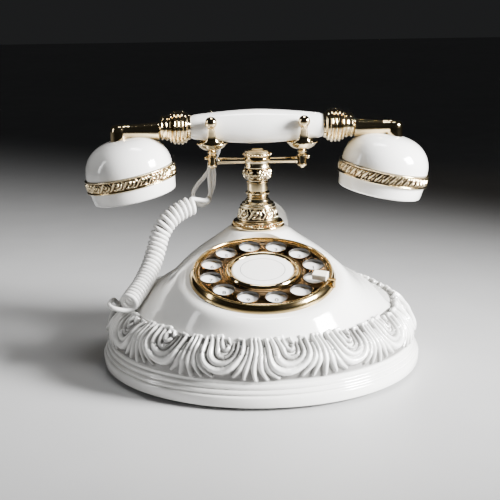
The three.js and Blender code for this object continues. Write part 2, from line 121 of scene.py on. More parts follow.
def panel(name, place, aim, size, power, colour=(1, 1, 1), spread=60):
    """An area lamp at its place, turned to its aim, with its light kept to a cone of this spread."""
    bpy.ops.object.light_add(type="AREA", location=place)
    light = bpy.context.object
    light.name = name
    light.data.shape = "RECTANGLE"
    light.data.size, light.data.size_y = size
    light.data.energy = power
    light.data.color = colour
    light.data.spread = math.radians(spread)
    light.rotation_euler = (Vector(aim) - Vector(place)).to_track_quat("-Z", "Y").to_euler()


panel("right_panel", (0.98, -0.36, 0.52), (0, 0, 0.06), (0.4, 0.45), 9.5, spread=45)
panel("left_strip", (-0.95, -0.1, 0.42), (0, 0, 0.1), (0.12, 0.6), 0.32, spread=70)
panel("top_panel", (0.05, 0.15, 1.15), (0, 0, 0.05), (0.4, 0.2), 0.55, spread=50)
panel("dial_glow", (0.30, 1.15, 1.13), (0, 0, 0.07), (0.07, 0.03), 0.10, (1, 0.80, 0.55))
world = bpy.data.worlds.new("studio")
bpy.context.scene.world = world
world.use_nodes = True
world.node_tree.nodes["Background"].inputs["Color"].default_value = (0.8, 0.82, 0.85, 1)
world.node_tree.nodes["Background"].inputs["Strength"].default_value = 0.02

CAMERA_TURN = math.radians(-2.5)
CAMERA_AWAY, CAMERA_HEIGHT = 0.812, 0.2721
LOOK_DOWN, LOOK_ASIDE, CAMERA_ROLL = math.radians(13.65), math.radians(0.31), math.radians(0.7)
camera_data = bpy.data.cameras.new("camera")
camera = bpy.data.objects.new("camera", camera_data)
bpy.context.collection.objects.link(camera)
camera.location = (CAMERA_AWAY * math.sin(CAMERA_TURN), -CAMERA_AWAY * math.cos(CAMERA_TURN), CAMERA_HEIGHT)
camera.rotation_euler = (math.pi / 2 - LOOK_DOWN, CAMERA_ROLL, CAMERA_TURN + LOOK_ASIDE)
camera_data.sensor_width = 36
camera_data.lens = 89.3
camera_data.clip_end = 20
bpy.context.scene.camera = camera

# The curly cord: white vinyl over tinsel wire, wound on a mandrel so that it springs into a coil. The upper
# lead leaves the grip, makes one slack loop behind the left fork, and the tail drops into the base's boot.
MM = 0.001


def alone(piece):
    """Selects this piece and nothing else."""
    bpy.ops.object.select_all(action="DESELECT")
    piece.select_set(True)
    bpy.context.view_layer.objects.active = piece


def paint(piece, material):
    piece.data.materials.clear()
    piece.data.materials.append(material)


def settled(piece, name, body, material, stands_for=(), angle=35):
    """Moves a piece's place into its mesh, smooths, names and paints it, and hangs it on its body."""
    alone(piece)
    bpy.ops.object.transform_apply(location=True, rotation=True, scale=True)
    if angle:
        bpy.ops.object.shade_smooth_by_angle(angle=math.radians(angle))
    else:
        bpy.ops.object.shade_smooth()
    piece.name = name
    paint(piece, material)
    if body:
        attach(piece, body)
    if stands_for:
        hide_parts(*stands_for)
    return piece


WIRE = 1.52
COIL_CENTRE = 5.35
TURNS, STEPS_PER_TURN = 29, 20
COIL_START_ANGLE = math.radians(200)
EASE_REACH, EASE_PASSES = 6.0, 30
STEPS_PER_SPAN = 24
COIL_ROUTE = [
    (-42, 30, 101.6), (-47.8, 28, 99.9), (-54.5, 25, 97), (-60, 22, 93.4), (-64.6, 19, 88.3),
    (-68, 17, 81.7), (-70, 14, 75), (-73, 8, 66), (-76.5, 0, 59), (-80.2, -11, 54), (-84.5, -23, 50.6),
    (-88, -33, 47.6),
]
UPPER_LEAD = [
    (-22, 43, 152), (-22, 47, 152), (-22.2, 52, 151), (-23, 57, 147.2), (-24.4, 60.2, 140.5),
    (-26.6, 61.4, 132), (-30.5, 60.4, 123.5), (-36, 57, 116), (-41.4, 53.2, 110.4), (-44.6, 50.4, 104.8),
    (-43.4, 48, 99.2),
    (-38.8, 46.6, 96.9), (-34.3, 46, 99.6), (-32.5, 45.6, 105.8), (-32.8, 45.2, 112.5), (-33, 45.4, 119),
    (-32.9, 47.4, 124.8), (-32.2, 51.4, 127.4), (-31, 55.4, 125), (-29.8, 56.8, 119), (-30, 55.4, 112),
    (-31.6, 51.4, 105.8), (-34, 45.4, 102.3), (-36.2, 39, 101.8),
]
LOWER_LEAD = [
    (-96.6, -36.8, 46.2), (-100, -31.4, 46.8), (-100.6, -23, 46.2), (-100.4, -13.6, 45), (-99.8, -4.8, 43.6),
    (-98.8, 1.6, 41.4), (-97.4, 5.2, 37.6), (-97, 6, 33), (-97, 6, 29),
]


def smooth_line(points, spacing):
    """Evenly spaced points on a Catmull-Rom curve through the given ones."""
    p = np.array([points[0], *points, points[-1]], float)
    p[0] = 2 * p[1] - p[2]
    p[-1] = 2 * p[-2] - p[-3]
    fine = []
    for i in range(1, len(p) - 2):
        for t in np.linspace(0, 1, STEPS_PER_SPAN, endpoint=False):
            a, b, c, d = p[i - 1:i + 3]
            fine.append(0.5 * (2 * b + (c - a) * t + (2 * a - 5 * b + 4 * c - d) * t * t
                               + (3 * b - a - 3 * c + d) * t ** 3))
    fine = np.array([*fine, p[-2]])
    far = np.concatenate([[0], np.cumsum(np.linalg.norm(np.diff(fine, axis=0), axis=1))])
    at = np.linspace(0, far[-1], max(2, int(far[-1] / spacing) + 1))
    return np.stack([np.interp(at, far, fine[:, k]) for k in range(3)], 1)


def curl(route, turns, radius, start_angle):
    """A helix round a route, its turns evenly spaced."""
    line = smooth_line(route, 0.5)
    ahead = np.gradient(line, axis=0)
    ahead /= np.linalg.norm(ahead, axis=1)[:, None]
    side = np.cross(ahead, (0, 1, 0))
    side /= np.linalg.norm(side, axis=1)[:, None]
    over = np.cross(side, ahead)
    steps = turns * STEPS_PER_TURN
    share = np.linspace(0, 1, steps + 1)
    place = share * (len(line) - 1)
    lower = np.floor(place).astype(int).clip(0, len(line) - 2)
    part = (place - lower)[:, None]
    mixed = [field[lower] * (1 - part) + field[lower + 1] * part for field in (line, side, over)]
    angle = start_angle + share * turns * 2 * math.pi
    return mixed[0] + radius * (mixed[1] * np.cos(angle)[:, None] + mixed[2] * np.sin(angle)[:, None])


coil = curl(COIL_ROUTE, TURNS, COIL_CENTRE, COIL_START_ANGLE)
run = np.gradient(coil, axis=0)
run /= np.linalg.norm(run, axis=1)[:, None]


def joint_on(first, last, spot, way):
    """The step of an end turn at which the coil runs most nearly along the line to the lead's end."""
    toward = (np.array(spot) - coil[first:last]) * way
    toward /= np.linalg.norm(toward, axis=1)[:, None]
    return first + int((run[first:last] * toward).sum(axis=1).argmax())


coil_start = joint_on(0, STEPS_PER_TURN, UPPER_LEAD[-1], -1)
coil_stop = joint_on(len(coil) - STEPS_PER_TURN, len(coil), LOWER_LEAD[0], 1)
whole = smooth_line([*UPPER_LEAD, *coil[coil_start:coil_stop:2], *LOWER_LEAD], 1.0)
# each place where two stretches meet is eased, and the ease dies away on both sides of it
for spot in (coil[coil_start], coil[coil_stop], LOWER_LEAD[0]):
    steps_off = np.abs(np.arange(len(whole)) - np.linalg.norm(whole - spot, axis=1).argmin())
    ease = np.exp(-(steps_off / EASE_REACH) ** 2)[1:-1, None]
    for _ in range(EASE_PASSES):
        whole[1:-1] += 0.5 * ease * (whole[:-2] + whole[2:] - 2 * whole[1:-1])
cord_path = whole * MM


def wire_through(name, path, radius, rounding):
    """A round wire along the path, made a mesh."""
    line = bpy.data.curves.new(name, "CURVE")
    line.dimensions = "3D"
    line.bevel_depth = radius
    line.bevel_resolution = rounding
    line.use_fill_caps = True
    run = line.splines.new("POLY")
    run.points.add(len(path) - 1)
    for point, place in zip(run.points, path):
        point.co = (*place, 1)
    piece = bpy.data.objects.new(name, line)
    bpy.context.collection.objects.link(piece)
    alone(piece)
    bpy.ops.object.convert(target="MESH")
    return bpy.context.object


vinyl = finish_with("white_vinyl", (0.66, 0.65, 0.63), (0.73, 0.72, 0.70), 0.38, 0, 900, 0.08, coat=0.1)
cord = settled(wire_through("curly_cord", cord_path, WIRE * MM, 3), "curly_cord", None, vinyl,
               ("cord_coil", "cord_upper_lead", "cord_lower_lead"), angle=0)
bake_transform(cord)

# The base is slip-cast and glazed. Its foot ring and two mouldings are turned in one piece, hollow
# inside, so that the steel bottom plate drops into it from below.
GLAZE_COLOURS = (0.80, 0.79, 0.76), (0.86, 0.855, 0.83)
glaze = finish_with("white_glaze", *GLAZE_COLOURS, 0.13, 0, 55, 0.035, coat=0.6)


def rounded_outline(points, steps):
    """A smooth curve through the outline's points, with about this many steps between two of them."""
    line = np.array([(x, 0.0, z) for x, z in points])
    spans = np.linalg.norm(np.diff(line, axis=0), axis=1).sum()
    return [(max(p[0], 0.0), p[2]) for p in smooth_line(line, spans / (steps * (len(points) - 1)))]


def turned(outline, sides=96, centre=(0, 0)):
    """Raises a turned shape ring by ring: each ring is extruded from the last and resized. An outline that
    starts and ends on the axis is closed there, and any other closes on itself."""
    solid = outline[0][0] == 0
    rings = outline[1:-1] if solid else [*outline, outline[0]]
    radius, height = rings[0]
    bpy.ops.object.select_all(action="DESELECT")
    bpy.ops.mesh.primitive_circle_add(vertices=sides, radius=radius * MM, location=(0, 0, 0),
                                      fill_type="NGON" if solid else "NOTHING")
    piece = bpy.context.object
    bpy.ops.object.mode_set(mode="EDIT")
    bpy.ops.mesh.select_all(action="SELECT")
    for wide, high in rings[1:]:
        bpy.ops.mesh.extrude_region_move(TRANSFORM_OT_translate={"value": (0, 0, (high - height) * MM)})
        grow = wide / radius
        bpy.ops.transform.resize(value=(grow, grow, 1), center_override=(0, 0, 0))
        radius, height = wide, high
    if not solid:
        bpy.ops.mesh.select_all(action="SELECT")
        bpy.ops.mesh.remove_doubles(threshold=1e-6)
    bpy.ops.mesh.select_all(action="SELECT")
    bpy.ops.mesh.normals_make_consistent(inside=False)
    bpy.ops.object.mode_set(mode="OBJECT")
    piece.location = (centre[0] * MM, centre[1] * MM, rings[0][1] * MM)
    bpy.ops.object.transform_apply(location=True, rotation=False, scale=False)
    return piece


foot_outline = [
    (101.6, 2.2), (105.6, 2.0), (106.6, 2.3), (107, 3), (107, 7.8), (106.7, 8.6), (106, 9.1), (105.2, 9.3),
    (105, 9.7), (105.5, 10.2), (105.7, 10.9), (105.4, 11.7), (104.7, 12.2), (103.9, 12.4), (103.7, 12.8),
    (104.2, 13.4), (104.3, 14.2), (104, 15), (103.4, 15.5), (102.6, 15.8), (102.4, 16.6), (102.5, 17.6),
    (99.5, 18), (99, 16.5), (101.4, 12),
]
settled(turned(foot_outline, 192), "base_foot", "base", glaze, ("base_housing",))

# The relief band is cast with the base: acanthus fans hang between shells of nested loops, with a rolled
# volute in the heart of each shell. One repeat is worked out and carried fifteen times round.
REPEATS, COLUMNS = 15, 88
BAND_TURN = 4.5
RELIEF_DEPTH, RELIEF_GROUND = 1.5, 0.5
RELIEF_RADIUS = 98
REPEAT_LENGTH = 2 * math.pi * RELIEF_RADIUS / REPEATS
BAND_OUTLINE = [
    (102.4, 17.2), (102.5, 21.5), (101.6, 26.5), (99.6, 31.2), (96.8, 35.2), (93.2, 38.4), (89.2, 40.8),
    (85, 42), (81.5, 41.9),
]
BAND_ROWS = 66
FULLNESS = 1.28
HEART = 20.5


def stroke(points, wide, tall, samples=16):
    """A ridge through points of (along, up): its line, and its half-widths and heights on the way."""
    line = smooth_line([(a, u, 0) for a, u in points], 0.01)
    pick = np.linspace(0, len(line) - 1, samples).astype(int)
    share = np.linspace(0, 1, samples)
    widths = np.interp(share, np.linspace(0, 1, len(wide)), wide)
    heights = np.interp(share, np.linspace(0, 1, len(tall)), tall)
    return line[pick, :2], widths * FULLNESS, heights


def arc(centre, wide, deep, start, stop, count):
    """Points on a stretch of an ellipse."""
    turn = np.radians(np.linspace(start, stop, count))
    return [(centre[0] + wide * math.cos(t), centre[1] + deep * math.sin(t)) for t in turn]


strokes = [
    # the acanthus fan under each joint between two shells: teardrop lobes that part towards the foot
    stroke([(0.0, 27.5), (0.2, 19), (0.3, 10), (0.9, 2.2)], (1.2, 1.5, 2.0, 1.3), (2.1, 2.2, 2.1, 1.5)),
    stroke([(-2.6, 27.0), (-2.9, 18), (-3.8, 10), (-6.2, 3.0)], (1.1, 1.4, 2.0, 1.2), (1.9, 2.1, 2.0, 1.4)),
    stroke([(2.7, 27.0), (3.0, 18), (4.4, 10), (7.6, 3.2)], (1.1, 1.4, 2.0, 1.2), (1.9, 2.1, 2.0, 1.4)),
    stroke([(-5.0, 22.0), (-5.8, 14), (-8.4, 8.2), (-12.4, 4.0)], (0.7, 1.2, 1.8, 1.1), (1.4, 1.9, 1.8, 1.3)),
    stroke([(5.2, 22.0), (6.2, 14), (9.4, 8.0), (14.6, 3.6)], (0.7, 1.2, 1.8, 1.1), (1.4, 1.9, 1.8, 1.3)),
    # the shell: three loops that swell on their way round, each rolling in over the next
    stroke([(HEART - 13.2, 26.6), *arc((HEART - 0.3, 19.4), 12.4, 12.6, 185, 352, 9), (HEART + 12.6, 25.6)],
           (1.3, 1.8, 2.3, 2.1, 1.2), (2.2, 2.5, 2.3, 2.3, 1.7)),
    stroke([(HEART - 9.4, 27.2), *arc((HEART + 0.2, 19.8), 8.5, 8.8, 188, 350, 9), (HEART + 9.2, 26.2)],
           (1.6, 2.0, 1.9, 1.5, 1.0), (2.0, 2.1, 1.6, 1.4, 1.0)),
    stroke([(HEART - 5.6, 27.4), *arc((HEART + 0.7, 20.6), 4.7, 5.6, 190, 345, 8), (HEART + 6.0, 25.4)],
           (1.5, 1.7, 1.3, 1.2, 0.8), (1.9, 1.7, 1.0, 0.8, 0.5)),
    # the volute that turns over in the heart of the shell, with a leaf tip beside it
    stroke([(HEART - 2.0, 27.0), (HEART - 1.7, 22.6), (HEART + 0.5, 19.6), (HEART + 2.7, 21.4),
            (HEART + 1.5, 23.6)],
           (0.9, 1.5, 1.5, 1.3, 0.6), (1.7, 1.9, 1.2, 1.6, 0.8)),
    stroke([(HEART + 3.6, 24.0), (HEART + 2.4, 26.8)], (0.8, 1.4), (1.4, 2.3), 4),
    # rolled tops that break over the shoulder
    stroke([(-2.4, 27.6), (2.4, 27.8)], (1.5, 1.5), (2.2, 2.2), 4),
    stroke([(HEART - 13.6, 27.2), (HEART - 9.8, 28.2)], (1.4, 1.5), (2.1, 2.3), 4),
    stroke([(HEART - 6.2, 28.0), (HEART - 2.2, 28.6)], (1.5, 1.6), (2.3, 2.5), 4),
    stroke([(HEART + 9.4, 27.4), (HEART + 12.8, 26.8)], (1.3, 1.3), (2.0, 1.9), 4),
]


BROW, MELT = 0.9, 6


def relief_height(pattern, along, up, repeat):
    """The height of the relief: the strokes blend into one another as they do under a thick glaze."""
    total = np.zeros(np.shape(along))
    for line, wide, tall in pattern:
        best = np.zeros(np.shape(along))
        bits = list(zip(line[:, 0], line[:, 1], wide, tall))
        for (a, u, w, h), (a2, u2, w2, h2) in zip(bits, bits[1:]):
            reach_x, reach_y = a2 - a, u2 - u
            off = (along - (a + a2) / 2 + repeat / 2) % repeat - repeat / 2 + reach_x / 2
            length = reach_x ** 2 + reach_y ** 2 + 1e-9
            step = np.clip((off * reach_x + (up - u) * reach_y) / length, 0, 1)
            away = (off - step * reach_x) ** 2 + (up - u - step * reach_y) ** 2
            wide_here, tall_here = w + (w2 - w) * step, h + (h2 - h) * step
            best = np.maximum(best, tall_here * np.clip(1 - away / wide_here ** 2, 0, 1) ** BROW)
        total += best ** MELT
    return total ** (1 / MELT)


def stain_and_painted_shade_in_hollows(material, hollow):
    """Darkens the finish where the piece's relief attribute is low: painted shade in the hollows of the
    glazed relief band, and the brown stain that chased gold keeps in its hollows.
    """
    tree = material.node_tree
    shader = tree.nodes["Principled BSDF"]
    depth_read = node(tree, "ShaderNodeAttribute", attribute_name="relief")
    mix = node(tree, "ShaderNodeMix", data_type="RGBA")
    tree.links.new(depth_read.outputs["Fac"], mix.inputs["Factor"])
    mix.inputs["A"].default_value = (*hollow, 1)
    tree.links.new(shader.inputs["Base Color"].links[0].from_socket, mix.inputs["B"])
    tree.links.new(mix.outputs["Result"], shader.inputs["Base Color"])


band_curve = smooth_line([(r, 0, z) for r, z in BAND_OUTLINE], 0.02)
band_picks = np.linspace(0, len(band_curve) - 1, BAND_ROWS).astype(int)
band_rings = [(band_curve[i][0], band_curve[i][2]) for i in band_picks]
band = turned([*band_rings, (79, 38), (92, 30), (98.6, 19)], REPEATS * COLUMNS)
# each point of the outer skin knows its row of the outline, and which way that row leans
points = np.array([v.co for v in band.data.vertices])
reach = np.hypot(points[:, 0], points[:, 1]) / MM
ring_at = {(round(r, 3), round(z, 3)): i for i, (r, z) in enumerate(band_rings)}
climb = np.concatenate([[0], np.cumsum(np.linalg.norm(np.diff(np.array(band_rings), axis=0), axis=1))])
lean_out = np.gradient(np.array(band_rings), axis=0)
lean_out = np.stack([lean_out[:, 1], -lean_out[:, 0]], 1) / np.linalg.norm(lean_out, axis=1)[:, None]
rows = np.array([ring_at.get((round(r, 3), round(z, 3)), -1) for r, z in zip(reach, points[:, 2] / MM)])
shown = rows >= 0
turn = np.degrees(np.arctan2(points[shown, 1], points[shown, 0])) + 90 + BAND_TURN + 360
along = (turn % (360 / REPEATS)) / (360 / REPEATS) * REPEAT_LENGTH
up = climb[rows[shown]]
FADE_LOW, FADE_HIGH = 1.5, 2.0
edge = np.clip(up / FADE_LOW, 0, 1) * np.clip((climb[-1] - up) / FADE_HIGH, 0, 1)
# the carver's hand: the pattern drifts a little, so that no two shells are quite alike
swing = np.radians(turn)
along_cut = along + 0.9 * np.sin(3 * swing + 0.24 * up) + 0.5 * np.sin(7 * swing + 1.1)
up_cut = up + 0.7 * np.sin(4 * swing + 2.0) + 0.4 * np.sin(11 * swing + 0.3)
strength = 1 + 0.10 * np.sin(5 * swing + 0.7) + 0.06 * np.sin(23 * swing + 0.5 * up)
carved = relief_height(strokes, along_cut, up_cut, REPEAT_LENGTH)
rise = (carved * RELIEF_DEPTH * strength - RELIEF_GROUND) * edge
outward = points[shown, :2] / MM / reach[shown][:, None]
points[shown, :2] += outward * (lean_out[rows[shown], 0] * rise * MM)[:, None]
points[shown, 2] += lean_out[rows[shown], 1] * rise * MM
band.data.vertices.foreach_set("co", points.ravel())
band.data.update()
# painted shade: this mask is low where the relief sinks, and the band's glaze is darkened there as if shade
# lay in the hollows
SHADE_FROM, SHADE_OVER = 0.2, 2.2
relief_shade = np.ones(len(points), dtype=np.float32)
relief_shade[shown] = np.clip((rise - SHADE_FROM) / SHADE_OVER, 0, 1) * edge + (1 - edge)
band.data.attributes.new("relief", "FLOAT", "POINT").data.foreach_set("value", relief_shade)
# the relief glaze is mixed towards dark grey in the hollows: painted shade
relief_glaze = finish_with("relief_glaze", *GLAZE_COLOURS, 0.16, 0, 55, 0.035, coat=0.5)
stain_and_painted_shade_in_hollows(relief_glaze, (0.17, 0.165, 0.155))
settled(band, "relief_band", "base", relief_glaze, angle=0)

# The body of the base: the shoulder sweeps up and back into the neck, and a collar for the dial and a
# rounded carrying grip behind the neck grow out of it. One casting, so the joints between them are soft.
LEAN_START, LEAN_STOP, PILLAR_BACK = 42, 73, 30
body_outline = rounded_outline([
    (0.1, 30), (93, 30), (91, 38.5), (86, 41.6), (80, 43), (73, 45.8), (67, 50), (61, 55.4), (54, 61),
    (47, 66), (41, 70), (35, 74), (29.5, 77.8), (24.6, 81.4), (21, 84.2), (19.4, 84.7), (0.1, 84.7),
], 3)
body_outline = [(0, 30), *body_outline[1:-1], (0, 84.7)]
shoulder = turned(body_outline, 128)
for v in shoulder.data.vertices:
    t = min(max((v.co.z / MM - LEAN_START) / (LEAN_STOP - LEAN_START), 0), 1)
    v.co.y += PILLAR_BACK * MM * t * t * (3 - 2 * t)

CREST_X = 0.0045
DIAL_TILT = math.radians(14.7)
DIAL_CENTRE = Vector((0, -0.0354, 0.0705))
dial_place = Matrix.Translation(DIAL_CENTRE) @ Matrix.Rotation(DIAL_TILT, 4, "X")


def on_dial(piece, spin=0.0, shift=(0, 0, 0)):
    """Puts a piece made flat at the origin onto the tilted dial."""
    turned_on_plate = Matrix.Rotation(math.radians(spin), 4, "Z") @ Matrix.Translation(shift)
    piece.data.transform(dial_place @ turned_on_plate)
    piece.data.update()
    return piece


collar = on_dial(turned([
    (0, -32), (84, -31), (76, -26.5), (69, -21.5), (63.5, -16), (60, -12), (57.5, -9), (55.6, -7),
    (53.6, -5.8), (51.4, -5.1), (49.4, -5), (47, -5.4), (0, -5.4),
], 128))


def swelling(place, size):
    """A plain rounded lump, to be drowned in the casting."""
    bpy.ops.object.select_all(action="DESELECT")
    bpy.ops.mesh.primitive_uv_sphere_add(segments=48, ring_count=32, radius=1, location=place, scale=size)
    return bpy.context.object


crest = swelling((CREST_X, 0.057, 0.0803), (0.0186, 0.0105, 0.0186))
crest_root = swelling((CREST_X, 0.060, 0.0665), (0.0215, 0.0155, 0.0195))


def joined(first, *others):
    """Joins pieces into the first of them."""
    bpy.ops.object.select_all(action="DESELECT")
    for piece in (first, *others):
        piece.select_set(True)
    bpy.context.view_layer.objects.active = first
    bpy.ops.object.join()
    return first


def modified(piece, kind, **values):
    """Adds a modifier, sets it up, and applies it."""
    alone(piece)
    made = piece.modifiers.new(kind.lower(), kind)
    for name, value in values.items():
        setattr(made, name, value)
    bpy.ops.object.modifier_apply(modifier=made.name)
    return piece


def cut_by(piece, cutter):
    """Cuts the cutter's shape out of a piece, and takes the cutter away."""
    modified(piece, "BOOLEAN", operation="DIFFERENCE", object=cutter, solver="EXACT")
    bpy.data.objects.remove(cutter)


CASTING_LOW, CASTING_WALL = 0.033, 2.2
casting = joined(shoulder, collar, crest, crest_root)
modified(casting, "REMESH", mode="VOXEL", voxel_size=1.0 * MM, adaptivity=0)
modified(casting, "SMOOTH", factor=0.6, iterations=24)
well = on_dial(turned([(0, -29), (42, -29), (42, -6.4), (47.6, -6.4), (47.6, 0), (47.6, 14), (0, 14)], 128))
cut_by(casting, well)
bpy.ops.object.mode_set(mode="EDIT")
bpy.ops.mesh.select_all(action="SELECT")
bpy.ops.mesh.bisect(plane_co=(0, 0, CASTING_LOW), plane_no=(0, 0, 1), clear_inner=True)
bpy.ops.object.mode_set(mode="OBJECT")
modified(casting, "SOLIDIFY", thickness=CASTING_WALL * MM, offset=-1)
settled(casting, "base_body", "base", glaze, angle=50)

# The line socket is a dark moulded block let into the back of the base, so its mouth is cut through the
# band and the foot.
socket_low, socket_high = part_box("line_socket")
SOCKET_SLACK = 0.0003


def block(low, high):
    """A plain block between two corners."""
    bpy.ops.object.select_all(action="DESELECT")
    middle = [(a + b) / 2 for a, b in zip(low, high)]
    bpy.ops.mesh.primitive_cube_add(size=1, location=middle, scale=[b - a for a, b in zip(low, high)])
    bpy.ops.object.transform_apply(location=True, rotation=True, scale=True)
    return bpy.context.object


for cast_piece in ("base_foot", "relief_band"):
    notch = block((socket_low[0] - SOCKET_SLACK, 0.085, socket_low[2] - SOCKET_SLACK),
                  (socket_high[0] + SOCKET_SLACK, 0.12, socket_high[2] + SOCKET_SLACK))
    cut_by(bpy.data.objects[cast_piece], notch)

# The fittings inside and under the base stay as the shop turned or pressed them: plated steel, raw brass,
# rubber, laminate and dark moulding. Their shapes are the CAD's own, and only the finish is added.
zinc = finish_with("zinc_plate", (0.50, 0.50, 0.51), (0.62, 0.62, 0.63), 0.32, 1, 260, 0.1)
raw_brass = finish_with("raw_brass", (0.55, 0.40, 0.16), (0.70, 0.54, 0.24), 0.3, 1, 240, 0.1)
rubber = finish_with("black_rubber", (0.020, 0.020, 0.020), (0.045, 0.043, 0.04), 0.75, 0, 500, 0.3)
laminate = finish_with("brown_laminate", (0.20, 0.12, 0.05), (0.30, 0.20, 0.09), 0.55, 0, 150, 0.15)
dark_moulding = finish_with("dark_moulding", (0.030, 0.028, 0.025), (0.06, 0.055, 0.05), 0.45, 0, 400, 0.15)
plain_finish = {"plain_steel": zinc, "brass": raw_brass, "black_rubber": rubber, "circuit_board": laminate,
                "dark_moulding": dark_moulding, "porcelain_white": glaze}
for part in frame["record"]["subparts"]:
    if part["material_slot"] in plain_finish:
        paint(frame["nodes"][part["node"]], plain_finish[part["material_slot"]])

# The base stands on four feet of black rubber, pressed in a mould with a rounded rim, and fixed to the
# steel bottom plate.
for corner in ("front_right", "back_right", "back_left", "front_left"):
    low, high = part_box(f"foot_{corner}")
    centre = ((low[0] + high[0]) / 2 / MM, (low[1] + high[1]) / 2 / MM)
    foot = turned([(0, 0), (5.9, 0), (6.6, 0.2), (7, 0.8), (7, 1.6), (6.7, 2), (0, 2)], 40, centre)
    settled(foot, f"rubber_{corner}", "base", rubber, (f"foot_{corner}",))

# The boot where the cord's tail drops into the base is a soft white vinyl sleeve. Its grip rings are
# moulded in, and it is pushed into a hole in the casting.
BOOT = (-97, 6)
boot = turned([
    (0, 22), (3.5, 22), (3.6, 27), (3.3, 27.5), (3.6, 28), (3.6, 29.3), (3.2, 29.8), (3.5, 30.3), (3.5, 31.6),
    (3.0, 32.2), (2.7, 33.6), (2.2, 34), (0, 33.8),
], 48, BOOT)
settled(boot, "tail_boot", "base", vinyl, ("cord_boot",))

# The fittings that show are brass castings under a pale gold flash. Plain ones are polished bright, and
# those with a pattern cut in them keep a brown stain in the hollows.
gold = finish_with("pale_gold", (0.78, 0.60, 0.33), (0.88, 0.73, 0.46), 0.09, 1, 160, 0.03)
antique = finish_with("antique_gold", (0.80, 0.64, 0.38), (0.92, 0.80, 0.55), 0.15, 1, 300, 0.06)
stain_and_painted_shade_in_hollows(antique, (0.10, 0.06, 0.025))


INNER_WALL = 0.62


def embossed(piece, height, low, high, axis=(0, 0)):
    """Raises a pattern on a turned piece: height(angle, share of the way from low to high), in mm."""
    points = np.array([v.co for v in piece.data.vertices])
    side = points[:, :2] / MM - np.array(axis)
    reach = np.hypot(side[:, 0], side[:, 1])
    share = (points[:, 2] / MM - low) / (high - low)
    on = (share > 0) & (share < 1) & (reach > INNER_WALL * reach.max())
    rise = np.zeros(len(points))
    rise[on] = height(np.arctan2(side[on, 1], side[on, 0]), share[on])
    points[:, :2] += side / np.maximum(reach, 1e-6)[:, None] * (rise * MM)[:, None]
    piece.data.vertices.foreach_set("co", points.ravel())
    tall = max(float(rise.max()), 1e-6)
    shade = np.where(on, np.clip(rise / tall * 1.6, 0, 1), 1.0)
    piece.data.attributes.new("relief", "FLOAT", "POINT").data.foreach_set("value", shade.astype(np.float32))


def copied_round(piece, count, centre=(0, 0)):
    """Copies a small piece round an upright axis and joins the copies to it."""
    place = Matrix.Translation((centre[0] * MM, centre[1] * MM, 0))
    copies = []
    for i in range(1, count):
        alone(piece)
        bpy.ops.object.duplicate(linked=False)
        copy = bpy.context.object
        spin = Matrix.Rotation(2 * math.pi * i / count, 4, "Z")
        copy.data.transform(place @ spin @ place.inverted())
        copies.append(copy)
    return joined(piece, *copies)


def ball(radius, place, rings):
    """A small ball, all in millimetres."""
    bpy.ops.object.select_all(action="DESELECT")
    bpy.ops.mesh.primitive_uv_sphere_add(segments=rings + 6, ring_count=rings, radius=radius * MM,
                                         location=[c * MM for c in place])
    piece = bpy.context.object
    bpy.ops.object.transform_apply(location=True, rotation=True, scale=True)
    return piece


# The dial's bezel is a ring of spun brass, pressed into the well of the collar. Its lip is rounded over,
# and its gilding is a shade warmer than that of the castings.
warm_gold = finish_with("warm_gold", (0.58, 0.41, 0.17), (0.70, 0.53, 0.26), 0.13, 1, 160, 0.03)
bezel = turned([
    (43.7, -6.3), (47.2, -6.3), (47.4, -5.8), (47.3, -4.9), (47, -3.8), (46.6, -2.7), (46.1, -1.8),
    (45.6, -1.1), (45.3, -0.6), (45.2, -0.2), (44.9, 0.05), (44.5, 0.1), (44.1, -0.05), (43.85, -0.4),
    (43.7, -1),
], 192)
settled(on_dial(bezel), "bezel_ring", "base", warm_gold, ("dial_bezel",))

# The number plate is enamelled steel, screwed down under the wheel. Its digits are printed small and dark,
# one in each of ten finger holes.
enamel = finish_with("plate_enamel", (0.84, 0.83, 0.80), (0.88, 0.87, 0.85), 0.25, 0, 80, 0.02, coat=0.3)
ink = finish_with("digit_ink", (0.02, 0.02, 0.02), (0.05, 0.045, 0.04), 0.5, 0, 400, 0.05)
number_disc = turned([
    (5, -4.9), (43, -4.9), (43.2, -4.6), (43.2, -3.7), (43, -3.4), (5.3, -3.4), (5, -3.6),
], 128)
settled(on_dial(number_disc), "number_disc", "base", enamel, ("number_plate",))
FINGER_CIRCLE, FINGER_HOLE, FIRST_HOLE, HOLES = 34.3, 6.9, 12, 12
hole_turns = [math.radians(FIRST_HOLE + 360 / HOLES * i) for i in range(HOLES)]
hole_spots = [(FINGER_CIRCLE * math.cos(t), FINGER_CIRCLE * math.sin(t)) for t in hole_turns]
DIGIT_SIZE, DIGIT_HEIGHT = 5.2, -3.36
digits = []
for digit, (x, y) in zip("1234567890", hole_spots):
    bpy.ops.object.select_all(action="DESELECT")
    bpy.ops.object.text_add()
    text = bpy.context.object
    text.data.body = digit
    text.data.size = DIGIT_SIZE * MM
    text.data.offset = 0.1 * MM
    text.data.extrude = 0.05 * MM
    text.data.align_x = "CENTER"
    text.data.align_y = "CENTER"
    bpy.ops.object.convert(target="MESH")
    digits.append(on_dial(bpy.context.object, shift=(x * MM, y * MM, DIGIT_HEIGHT * MM)))
settled(joined(*digits), "dial_digits", "base", ink)
